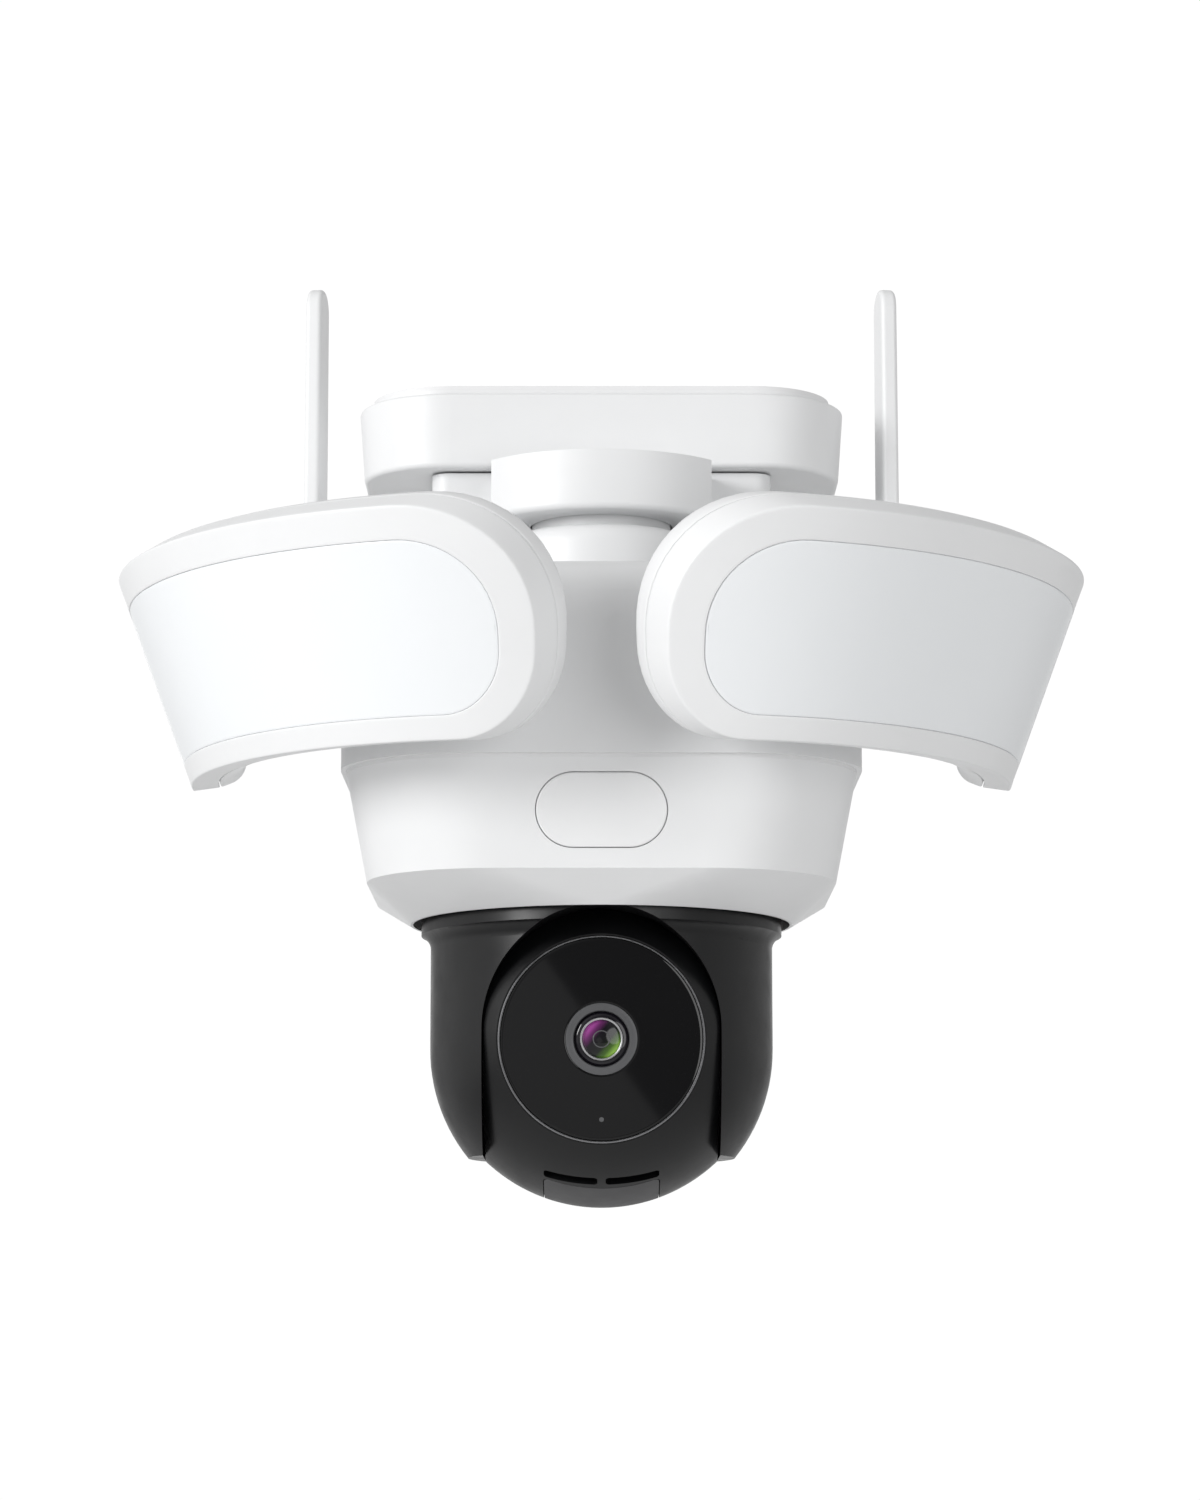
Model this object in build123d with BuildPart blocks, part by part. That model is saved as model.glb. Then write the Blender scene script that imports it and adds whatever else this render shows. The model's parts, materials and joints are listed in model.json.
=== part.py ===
"""Floodlight security camera for a ceiling, an eave or a wall.

Millimetres. The origin is the centre of the face that meets the ceiling, +Z is up and the
camera looks along -Y. A wiring box carries a folding arm. A casing hangs from the arm on a
vertical neck. It carries two wrap-around lamps on knuckles, two antennas, a motion sensor
and a motorised turret, and a round camera head tilts between the turret's cheeks.
Every right-hand piece has a mirrored left-hand twin.
"""
from build123d import *
import os
from math import atan2, cos, hypot, pi, radians, sin, tan

os.makedirs("parts", exist_ok=True)

# ---- driving dimensions -----------------------------------------------------------------
NECK_Y = -68.0            # neck and pan axis, forward of the centre of the mounting face

BOX_W, BOX_D, BOX_R = 139.0, 134.0, 27.0      # wiring box at its rim
BOX_TOP, BOX_BOTTOM, BOX_WALL = -3.0, -24.0, 3.0
BOX_DRAFT = 1.5           # how far each wall leans in over the box's height
PLATE_STEP = 4.0          # the mounting plate is this much inside the box's outline
GASKET_T, PLATE_T = 1.2, 2.0
BOLT_SPACING, BOLT_HOLE_R = 88.9, 2.4         # screw spacing of a 4 in round junction box
WIRE_HOLE_R = 14.0

HINGE_Y, HINGE_Z = 0.0, -37.0                 # fold axis, along X
HINGE_R, HINGE_PIN_R = 10.0, 4.0
LUG_IN, LUG_OUT = 31.0, 39.0
BLOCK_W, BLOCK_FRONT, BLOCK_BACK = 96.0, -60.0, -13.0
BLOCK_TOP, BLOCK_BOTTOM = -24.6, -45.0
TONGUE_W, TONGUE_TIP, TONGUE_R = 61.0, -97.0, 40.0
TONGUE_TOP, TONGUE_BOTTOM = -26.0, -42.4
NECK_MOUTH_R, NECK_STEM_R = 20.0, 12.0
RUN = 0.06                # radial running clearance of a shaft
GAP = 0.4                 # clearance between other moving neighbours

CASE_W, CASE_R, CASE_WALL = 140.0, 36.0, 3.0
CASE_TOP, LIP_Z, CHAMFER_Z, RING_Z = -64.0, -116.3, -145.7, -154.1
CASE_CROWN = 9.0          # radius of the casing's top edge
SKIRT_W, CHAMFER_W, RING_R = 137.0, 126.4, 51.9
COLLAR_R, COLLAR_TOP = 29.0, -46.0
CHASSIS_Z, CHASSIS_T = -128.0, 3.0

PIR_W, PIR_H, PIR_Z = 34.7, 20.0, -130.8

HEAD_Z = -185.3           # tilt axis
HEAD_R, HEAD_HALF = 46.1, 31.5                # ball radius, half width between its flats
HEAD_REST_TILT = 4.6      # the head looks this many degrees down at rest
HEAD_SHELL = 4.6
TURRET_R, ARCH_R, ARCH_HALF = 47.0, 32.0, 32.0
DRUM_R, DRUM_TOP = 49.6, -134.0
GLASS_R, BEZEL_R = 26.9, 27.7
LENS_R, LENS_RING_R = 7.3, 9.6
AXLE_R, AXLE_END = 5.0, 43.0
GEAR_MODULE = 1.0
PAN_GEAR_TEETH, PAN_PINION_TEETH = 40, 12
TILT_GEAR_TEETH, TILT_PINION_TEETH = 18, 10

LAMP_X, LAMP_Y = 17.7, -8.0                   # axis of the right lamp's cone, from the neck
LAMP_TOP_R, LAMP_BOTTOM_R = 115.5, 94.6       # face radius at its upper and lower edge
LAMP_TOP_Z, LAMP_BOTTOM_Z = -61.1, -117.8
LAMP_T, LAMP_SEAM = 17.0, 7.5                 # whole depth, and depth of the front frame
LAMP_FLARE = 1.6          # the frame widens by this much from its face to its seam
LAMP_END_A = 91.5        # outer end of the panel, degrees from straight ahead
LAMP_BORDER = 9.5         # width of the frame around the diffuser
LAMP_MID_Z = -90.0
STEM_A = 60.0             # direction of the lamp's stem, degrees from straight ahead
YAW_AT, TILT_AT = 43.0, 51.5                  # axes, from the centre of the casing's corner
PIN_R = 2.0

ANT_X, ANT_Y, ANT_Z = 82.6, 34.0, -90.0      # antenna pivot, from the neck
ANT_T, ANT_D, ANT_TIP = 4.6, 15.0, 35.6
ANT_TWIST = 7.0

# ---- frames -----------------------------------------------------------------------------
NECK = Plane(origin=(0, NECK_Y, 0))
HEAD = Plane(origin=(0, NECK_Y, HEAD_Z), x_dir=(1, 0, 0),
             z_dir=(0, -cos(radians(HEAD_REST_TILT)), -sin(radians(HEAD_REST_TILT))))
TURRET_FRONT = Plane(origin=(0, NECK_Y, HEAD_Z), x_dir=(1, 0, 0), z_dir=(0, -1, 0))
LAMP_AXIS = Axis((LAMP_X, NECK_Y + LAMP_Y, 0), (0, 0, 1))


def write(piece, node):
    """Label a finished piece and write it to its own file."""
    piece.part.label = node
    export_step(piece.part, f"parts/{node}.step")


def write_pair(piece, node):
    """Write a right-hand piece and its mirrored left-hand twin."""
    write(piece, "right_" + node)
    with BuildPart() as twin:
        add(mirror(piece.part, about=Plane.YZ))
    write(twin, "left_" + node)


def across(x):
    """A plane square to X at x; its sketch x is Y and its sketch y is Z."""
    return Plane(origin=(x, 0, 0), x_dir=(0, 1, 0), z_dir=(1, 0, 0))


def rounded_loft(levels, mode=Mode.ADD):
    """Loft between rounded rectangles given as (plane, width, depth, corner radius)."""
    sections = []
    for plane, width, depth, radius in levels:
        with BuildSketch(plane) as level:
            RectangleRounded(width, depth, radius)
        sections.append(level.sketch)
    loft(sections, ruled=True, mode=mode)


def gear_outline(teeth, module):
    """Stub teeth with generous backlash, drawn in the current sketch."""
    pitch_r = teeth * module / 2
    root_r, tip_r = pitch_r - 1.05 * module, pitch_r + 0.75 * module
    Circle(root_r)
    with PolarLocations(0, teeth):
        Polygon((root_r - 0.3, 0.85 * module), (root_r, 0.85 * module), (tip_r, 0.3 * module),
                (tip_r, -0.3 * module), (root_r, -0.85 * module),
                (root_r - 0.3, -0.85 * module), align=None)


# ---- wiring box, fixed to the building ---------------------------------------------------
PLATE_W, PLATE_D = BOX_W - 2 * PLATE_STEP, BOX_D - 2 * PLATE_STEP
PLATE_TOP, PLATE_BOTTOM = -GASKET_T, -GASKET_T - PLATE_T
PLATE_R = BOX_R - PLATE_STEP
BOLTS = [(-BOLT_SPACING / 2, 0), (BOLT_SPACING / 2, 0)]
SIDE_SCREW_Z = -8.0
SCREW_SEAT, SCREW_HEAD_R = BOX_W / 2 - 1.9, 3.6

with BuildPart() as mount_gasket:
    with BuildSketch(Plane.XY.offset(PLATE_TOP)):
        RectangleRounded(PLATE_W, PLATE_D, PLATE_R)
        with Locations(*BOLTS):
            Circle(BOLT_HOLE_R + 0.6, mode=Mode.SUBTRACT)
        Circle(WIRE_HOLE_R + 1.0, mode=Mode.SUBTRACT)
    extrude(amount=GASKET_T)
write(mount_gasket, "mount_gasket")

with BuildPart() as mount_plate:
    with BuildSketch(Plane.XY.offset(PLATE_BOTTOM)):
        RectangleRounded(PLATE_W, PLATE_D, PLATE_R)
    extrude(amount=PLATE_T)
    with BuildSketch(Plane.XY.offset(PLATE_BOTTOM)):
        RectangleRounded(BOX_W - 2 * BOX_WALL - 1.0, BOX_D - 2 * BOX_WALL - 1.0, BOX_R - 3.5)
        RectangleRounded(BOX_W - 2 * BOX_WALL - 5.0, BOX_D - 2 * BOX_WALL - 5.0, BOX_R - 5.5,
                         mode=Mode.SUBTRACT)
    extrude(amount=-8.0)
    with BuildSketch(Plane.XY):
        with Locations(*BOLTS):
            Circle(BOLT_HOLE_R)
        Circle(WIRE_HOLE_R)
    extrude(amount=-20, mode=Mode.SUBTRACT)
    with BuildSketch(across(0)):
        with Locations((0, SIDE_SCREW_Z)):
            Circle(1.6)
    extrude(amount=BOX_W, both=True, mode=Mode.SUBTRACT)
write(mount_plate, "mount_plate")

with BuildPart() as mount_box:
    rounded_loft([(Plane.XY.offset(BOX_BOTTOM), BOX_W - 2 * BOX_DRAFT, BOX_D - 2 * BOX_DRAFT,
                   BOX_R - BOX_DRAFT),
                  (Plane.XY.offset(BOX_TOP), BOX_W, BOX_D, BOX_R)])
    rim = mount_box.edges().group_by(Axis.Z)
    fillet(rim[0], 1.5)
    fillet(mount_box.edges().group_by(Axis.Z)[-1], 1.0)
    with BuildSketch(Plane.XY.offset(BOX_TOP)):
        RectangleRounded(BOX_W - 2 * BOX_WALL, BOX_D - 2 * BOX_WALL, BOX_R - BOX_WALL)
    extrude(amount=-(BOX_TOP - BOX_BOTTOM - BOX_WALL), mode=Mode.SUBTRACT)
    for side in (-1, 1):
        with BuildSketch(across(side * (LUG_IN + LUG_OUT) / 2)):
            with Locations((HINGE_Y, HINGE_Z)):
                Circle(HINGE_R)
            with Locations((HINGE_Y, (HINGE_Z + BOX_BOTTOM) / 2 + 0.5)):
                Rectangle(2 * HINGE_R, BOX_BOTTOM - HINGE_Z + 1.0)
        extrude(amount=(LUG_OUT - LUG_IN) / 2, both=True)
    with BuildSketch(across(0)):
        with Locations((HINGE_Y, HINGE_Z)):
            Circle(HINGE_PIN_R)
        with Locations((0, SIDE_SCREW_Z)):
            Circle(2.1)
    extrude(amount=BOX_W, both=True, mode=Mode.SUBTRACT)
    for side in (-1, 1):
        with BuildSketch(across(side * SCREW_SEAT)):
            with Locations((0, SIDE_SCREW_Z)):
                Circle(SCREW_HEAD_R + 0.3)
        extrude(amount=side * 6.0, mode=Mode.SUBTRACT)
    with BuildSketch(Plane.XY.offset(BOX_BOTTOM)):
        with Locations((0, 22)):
            SlotOverall(26, 12)
    extrude(amount=10, both=True, mode=Mode.SUBTRACT)
write(mount_box, "mount_box")

with BuildPart() as box_screws:
    for side in (-1, 1):
        seat = Plane(origin=(side * SCREW_SEAT, 0, SIDE_SCREW_Z), x_dir=(0, 1, 0),
                     z_dir=(side, 0, 0))
        with BuildSketch(seat.offset(-7.0)):
            Circle(1.6)
        extrude(amount=7.1)
        with BuildSketch(seat):
            Circle(SCREW_HEAD_R)
        extrude(amount=1.4)
        fillet(box_screws.faces().sort_by(Axis((0, 0, 0), (side, 0, 0)))[-1].edges(), 0.6)
        with BuildSketch(seat.offset(1.5)):
            Rectangle(4.4, 0.9)
            Rectangle(0.9, 4.4)
        extrude(amount=-1.0, mode=Mode.SUBTRACT)
write(box_screws, "box_screws")

with BuildPart() as terminal_block:
    floor_z = BOX_BOTTOM + BOX_WALL
    with BuildSketch(Plane.XY.offset(floor_z)):
        with Locations((0, -30)):
            RectangleRounded(40, 16, 1.5)
    extrude(amount=11)
    with BuildSketch(Plane.XY.offset(floor_z + 11)):
        with GridLocations(12, 1, 3, 1):
            with Locations((0, -30)):
                Circle(3.2)
    extrude(amount=-4, mode=Mode.SUBTRACT)
write(terminal_block, "terminal_block")

with BuildPart() as fold_pin:
    with BuildSketch(across(-LUG_OUT - 0.2)):
        with Locations((HINGE_Y, HINGE_Z)):
            Circle(HINGE_PIN_R)
    extrude(amount=2 * LUG_OUT + 0.4)
    for side in (-1, 1):
        with BuildSketch(Plane(origin=(side * LUG_OUT, HINGE_Y, HINGE_Z), x_dir=(0, 1, 0),
                               z_dir=(side, 0, 0))):
            RegularPolygon(7.0, 6)
        extrude(amount=3.6)
write(fold_pin, "fold_pin")

# ---- arm, folds about the pin ------------------------------------------------------------
with BuildPart() as arm_shell:
    block_mid = (BLOCK_FRONT + BLOCK_BACK) / 2
    with BuildSketch(Plane.XY.offset(BLOCK_BOTTOM)):
        with Locations((0, block_mid)):
            RectangleRounded(BLOCK_W, BLOCK_BACK - BLOCK_FRONT, 5.0)
    extrude(amount=BLOCK_TOP - BLOCK_BOTTOM)
    fillet(arm_shell.faces().sort_by(Axis.Z)[0].edges(), 2.0)
    with BuildSketch(Plane.XY.offset(TONGUE_BOTTOM)):
        with Locations((0, (TONGUE_TIP + BLOCK_BACK - 8) / 2)):
            Rectangle(TONGUE_W, BLOCK_BACK - 8 - TONGUE_TIP)
        with Locations((0, TONGUE_TIP + TONGUE_R)):
            Circle(TONGUE_R, mode=Mode.INTERSECT)
        with Locations((0, (BLOCK_FRONT + BLOCK_BACK) / 2 - 6)):
            Rectangle(TONGUE_W, BLOCK_BACK - BLOCK_FRONT - 8)
    extrude(amount=TONGUE_TOP - TONGUE_BOTTOM)
    tongue_faces = arm_shell.faces().filter_by(Axis.Z)
    lower = [f for f in tongue_faces if abs(f.center().Z - TONGUE_BOTTOM) < 0.01]
    fillet([e for f in lower for e in f.edges() if e.center().Y < BLOCK_FRONT - 1], 1.6)
    barrel_half = LUG_IN - GAP
    with BuildSketch(across(0)):
        with Locations((HINGE_Y, HINGE_Z)):
            Circle(HINGE_R)
        with Locations(((HINGE_Y + BLOCK_BACK) / 2 - 1, HINGE_Z)):
            Rectangle(HINGE_Y - BLOCK_BACK + 2, 2 * HINGE_R - 2)
    extrude(amount=barrel_half, both=True)
    with BuildSketch(across(0)):
        with Locations((HINGE_Y, HINGE_Z)):
            Circle(HINGE_PIN_R + RUN)
    extrude(amount=60, both=True, mode=Mode.SUBTRACT)
    with BuildSketch(NECK.offset(BLOCK_BOTTOM - 1)):
        Circle(NECK_MOUTH_R)
    extrude(amount=TONGUE_BOTTOM + 6.4 - BLOCK_BOTTOM + 1, mode=Mode.SUBTRACT)
    with BuildSketch(NECK.offset(TONGUE_BOTTOM - 1)):
        Circle(NECK_STEM_R + RUN)
    extrude(amount=20, mode=Mode.SUBTRACT)
    with BuildSketch(NECK.offset(TONGUE_TOP + 1)):
        Circle(16.0)
    extrude(amount=-5.4, mode=Mode.SUBTRACT)
write(arm_shell, "arm_shell")

with BuildPart() as arm_cap:
    with BuildSketch(NECK.offset(TONGUE_TOP - 1.4)):
        Circle(16.0)
    extrude(amount=1.4)
    fillet(arm_cap.edges().group_by(Axis.Z)[-1], 0.5)
write(arm_cap, "arm_cap")

# ---- neck and casing, swivel below the arm -----------------------------------------------
SHELF_Z = TONGUE_TOP - 4.4                     # ledge in the arm that the neck hangs from
with BuildPart() as neck_stem:
    with BuildSketch(Plane.XZ.offset(-NECK_Y)) as profile:
        with BuildLine():
            Polyline((0, COLLAR_TOP), (19.0, COLLAR_TOP), (19.4, -42.0))
            ThreePointArc((19.4, -42.0), (17.6, -38.6), (14.0, -37.2))
            Polyline((14.0, -37.2), (NECK_STEM_R, -37.2), (NECK_STEM_R, SHELF_Z + 0.3),
                     (0, SHELF_Z + 0.3), (0, COLLAR_TOP))
        make_face()
    revolve(axis=Axis((0, NECK_Y, 0), (0, 0, 1)))
    with BuildSketch(NECK.offset(SHELF_Z + 0.4)):
        Circle(5.0)
    extrude(amount=-30, mode=Mode.SUBTRACT)
write(neck_stem, "neck_stem")

with BuildPart() as neck_nut:
    with BuildSketch(NECK.offset(SHELF_Z + 0.3)):
        Circle(15.4)
        Circle(5.0, mode=Mode.SUBTRACT)
    extrude(amount=2.2)
write(neck_nut, "neck_nut")

with BuildPart() as collar:
    with BuildSketch(NECK.offset(CASE_TOP)):
        Circle(COLLAR_R)
    extrude(amount=COLLAR_TOP - CASE_TOP)
    fillet(collar.edges().group_by(Axis.Z)[-1], 5.0)
    with BuildSketch(NECK.offset(CASE_TOP)):
        Circle(9.0)
    extrude(amount=COLLAR_TOP - CASE_TOP, mode=Mode.SUBTRACT)
write(collar, "collar")

CORNER = CASE_W / 2 - CASE_R                   # centre of the casing's rounded corner
STEM_DIR = Vector(sin(radians(STEM_A)), -cos(radians(STEM_A)), 0)
TILT_DIR = Vector(cos(radians(STEM_A)), sin(radians(STEM_A)), 0)
CORNER_AT = Vector(CORNER, NECK_Y - CORNER, LAMP_MID_Z)
YAW_AXIS_AT = CORNER_AT + STEM_DIR * YAW_AT
TILT_AXIS_AT = CORNER_AT + STEM_DIR * TILT_AT
STEM = Plane(origin=CORNER_AT, x_dir=TILT_DIR, z_dir=STEM_DIR)
STEM_HOLE_R = 7.0
ANT_BOSS_R = 8.0

with BuildPart() as casing_solid:
    with BuildSketch(NECK.offset(LIP_Z)):
        RectangleRounded(CASE_W, CASE_W, CASE_R)
    extrude(amount=CASE_TOP - LIP_Z)
    fillet(casing_solid.edges().group_by(Axis.Z)[-1], CASE_CROWN)

with BuildPart() as casing_upper:
    add(casing_solid.part)
    with BuildSketch(NECK.offset(LIP_Z)):
        RectangleRounded(CASE_W - 2 * CASE_WALL, CASE_W - 2 * CASE_WALL, CASE_R - CASE_WALL)
    extrude(amount=CASE_TOP - LIP_Z - 10, mode=Mode.SUBTRACT)
    with BuildSketch(NECK.offset(CASE_TOP - 3.0)):
        RectangleRounded(CASE_W - 26, CASE_W - 26, CASE_R - 14)
    extrude(amount=-8, mode=Mode.SUBTRACT)
    with BuildSketch(NECK.offset(CASE_TOP)):
        Circle(9.0)
    extrude(amount=-10, mode=Mode.SUBTRACT)
    for side in (-1, 1):
        hole = Plane(origin=(side * CORNER_AT.X, CORNER_AT.Y, CORNER_AT.Z),
                     z_dir=(side * STEM_DIR.X, STEM_DIR.Y, 0))
        with BuildSketch(hole.offset(CASE_R - 6)):
            Circle(STEM_HOLE_R)
        extrude(amount=12, mode=Mode.SUBTRACT)
        with BuildSketch(across(side * CASE_W / 2)):
            with Locations((NECK_Y + ANT_Y, ANT_Z)):
                Circle(4.0)
        extrude(amount=8, both=True, mode=Mode.SUBTRACT)
write(casing_upper, "casing_upper")

SEAL_T = 1.0
with BuildPart() as casing_seal:
    with BuildSketch(NECK.offset(LIP_Z - SEAL_T)):
        RectangleRounded(SKIRT_W, SKIRT_W, CASE_R - 1.5)
        RectangleRounded(SKIRT_W - 7.0, SKIRT_W - 7.0, CASE_R - 5.0, mode=Mode.SUBTRACT)
    extrude(amount=SEAL_T)
write(casing_seal, "casing_seal")

SKIRT_TOP = LIP_Z - SEAL_T
SKIRT_LEAN = atan2((SKIRT_W - CHAMFER_W) / 2, SKIRT_TOP - CHAMFER_Z)
PIR_Y = -(SKIRT_W / 2 - (SKIRT_TOP - PIR_Z) * tan(SKIRT_LEAN))
PIR = Plane(origin=(0, NECK_Y + PIR_Y, PIR_Z), x_dir=(1, 0, 0),
            z_dir=(0, -cos(SKIRT_LEAN), -sin(SKIRT_LEAN)))
RING_SQUARE = 2 * RING_R + 1.4
CASE_SCREWS = [(-48, 48), (48, 48)]

with BuildPart() as casing_lower:
    rounded_loft([(NECK.offset(CHAMFER_Z), CHAMFER_W, CHAMFER_W, CASE_R),
                  (NECK.offset(SKIRT_TOP), SKIRT_W, SKIRT_W, CASE_R - 0.75)])
    rounded_loft([(NECK.offset(RING_Z), RING_SQUARE, RING_SQUARE, RING_R + 0.5),
                  (NECK.offset(CHAMFER_Z), CHAMFER_W, CHAMFER_W, CASE_R)])
    wall = 2 * CASE_WALL
    rounded_loft([(NECK.offset(CHAMFER_Z), CHAMFER_W - wall, CHAMFER_W - wall, 33.0),
                  (NECK.offset(SKIRT_TOP), SKIRT_W - wall, SKIRT_W - wall, 32.5)],
                 mode=Mode.SUBTRACT)
    with BuildSketch(NECK.offset(CHAMFER_Z)):
        Circle(57.0)
    extrude(amount=-2.0, mode=Mode.SUBTRACT)
    with BuildSketch(NECK.offset(RING_Z - 1)):
        Circle(RING_R)
    extrude(amount=12, mode=Mode.SUBTRACT)
    with BuildSketch(NECK.offset(CHAMFER_Z)):
        with Locations(*CASE_SCREWS):
            Circle(5.0)
    extrude(amount=SKIRT_TOP - CHAMFER_Z - 8)
    with BuildSketch(PIR):
        SlotOverall(PIR_W, PIR_H)
    extrude(amount=9, both=True, mode=Mode.SUBTRACT)
    with BuildSketch(NECK.offset(RING_Z - 5)):
        with Locations(*CASE_SCREWS):
            Circle(3.2)
    extrude(amount=14, mode=Mode.SUBTRACT)
    with BuildSketch(NECK.offset(RING_Z - 5)):
        with Locations(*CASE_SCREWS):
            Circle(1.5)
    extrude(amount=40, mode=Mode.SUBTRACT)
write(casing_lower, "casing_lower")

with BuildPart() as casing_screws:
    with BuildSketch(NECK.offset(RING_Z + 5.0)):
        with Locations(*CASE_SCREWS):
            Circle(2.9)
    extrude(amount=2.0)
    with BuildSketch(NECK.offset(RING_Z + 7.0)):
        with Locations(*CASE_SCREWS):
            Circle(1.5)
    extrude(amount=22.0)
    with BuildSketch(NECK.offset(RING_Z + 5.0)):
        with Locations(*CASE_SCREWS):
            Rectangle(3.4, 0.7)
            Rectangle(0.7, 3.4)
    extrude(amount=1.0, mode=Mode.SUBTRACT)
write(casing_screws, "casing_screws")

with BuildPart() as pir_lens:
    with BuildSketch(PIR.offset(-1.9)):
        SlotOverall(PIR_W - 0.4, PIR_H - 0.4)
    extrude(amount=2.0)
    fillet(pir_lens.faces().sort_by(Axis.Y)[0].edges(), 0.5)
    with BuildSketch(PIR.offset(-3.0)):
        SlotOverall(PIR_W, PIR_H)
        SlotOverall(PIR_W - 6, PIR_H - 6, mode=Mode.SUBTRACT)
    extrude(amount=1.1)
write(pir_lens, "pir_lens")

with BuildPart() as pir_sensor:
    with BuildSketch(PIR.offset(-14.0)):
        Circle(4.6)
    extrude(amount=5.0)
    fillet(pir_sensor.faces().sort_by(Axis.Y)[0].edges(), 0.6)
write(pir_sensor, "pir_sensor")

BEARING_R, HUB_R = 14.0, 8.0
MOTOR_AT = (PAN_GEAR_TEETH + PAN_PINION_TEETH) * GEAR_MODULE / 2
PAN_GEAR_Z, PAN_GEAR_T = -121.0, 4.0
MOTOR_FOOT_Z, MOTOR_EAR = -115.0, 17.5
with BuildPart() as chassis:
    with BuildSketch(NECK.offset(CHASSIS_Z)):
        RectangleRounded(125, 125, 31)
        Circle(BEARING_R, mode=Mode.SUBTRACT)
        with Locations(*CASE_SCREWS):
            Circle(5.3, mode=Mode.SUBTRACT)
        with Locations((0, -60)):
            Rectangle(40, 24, mode=Mode.SUBTRACT)
    extrude(amount=CHASSIS_T)
    with BuildSketch(NECK.offset(CHASSIS_Z + CHASSIS_T)):
        with Locations((-MOTOR_EAR, MOTOR_AT), (MOTOR_EAR, MOTOR_AT)):
            Circle(3.0)
    extrude(amount=MOTOR_FOOT_Z - CHASSIS_Z - CHASSIS_T)
write(chassis, "chassis")

with BuildPart() as main_board:
    with BuildSketch(NECK.offset(-81.0)):
        RectangleRounded(96, 96, 4)
        Circle(12, mode=Mode.SUBTRACT)
    extrude(amount=1.6)
    with BuildSketch(NECK.offset(-81.0)):
        with Locations((26, 26), (-28, 20), (-20, -30)):
            Rectangle(20, 16)
        with Locations((28, -26)):
            Circle(8)
    extrude(amount=-6.0)
write(main_board, "main_board")

with BuildPart() as pan_bearing:
    with BuildSketch(NECK.offset(CHASSIS_Z - 2.0)):
        Circle(BEARING_R)
        Circle(HUB_R + RUN, mode=Mode.SUBTRACT)
    extrude(amount=6.0)
write(pan_bearing, "pan_bearing")

with BuildPart() as pan_motor:
    with BuildSketch(NECK.offset(MOTOR_FOOT_Z)):
        with Locations((0, MOTOR_AT)):
            SlotOverall(2 * MOTOR_EAR + 7, 7)
            Circle(14.0)
    extrude(amount=0.9)
    with BuildSketch(NECK.offset(MOTOR_FOOT_Z + 0.9)):
        with Locations((0, MOTOR_AT)):
            Circle(14.0)
    extrude(amount=18.0)
    with BuildSketch(NECK.offset(MOTOR_FOOT_Z)):
        with Locations((0, MOTOR_AT)):
            Circle(2.5 + RUN)
    extrude(amount=6.0, mode=Mode.SUBTRACT)
write(pan_motor, "pan_motor")

with BuildPart() as pan_pinion:
    with BuildSketch(Plane(origin=(0, NECK_Y + MOTOR_AT, PAN_GEAR_Z), z_dir=(0, 0, 1),
                           x_dir=(cos(pi / PAN_PINION_TEETH), sin(pi / PAN_PINION_TEETH), 0))):
        gear_outline(PAN_PINION_TEETH, GEAR_MODULE)
    extrude(amount=PAN_GEAR_T)
    with BuildSketch(NECK.offset(PAN_GEAR_Z + PAN_GEAR_T)):
        with Locations((0, MOTOR_AT)):
            Circle(2.5)
    extrude(amount=7.5)
write(pan_pinion, "pan_pinion")

with BuildPart() as pan_gear:
    with BuildSketch(NECK.offset(PAN_GEAR_Z)):
        gear_outline(PAN_GEAR_TEETH, GEAR_MODULE)
        Circle(HUB_R, mode=Mode.SUBTRACT)
    extrude(amount=PAN_GEAR_T)
write(pan_gear, "pan_gear")

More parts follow.
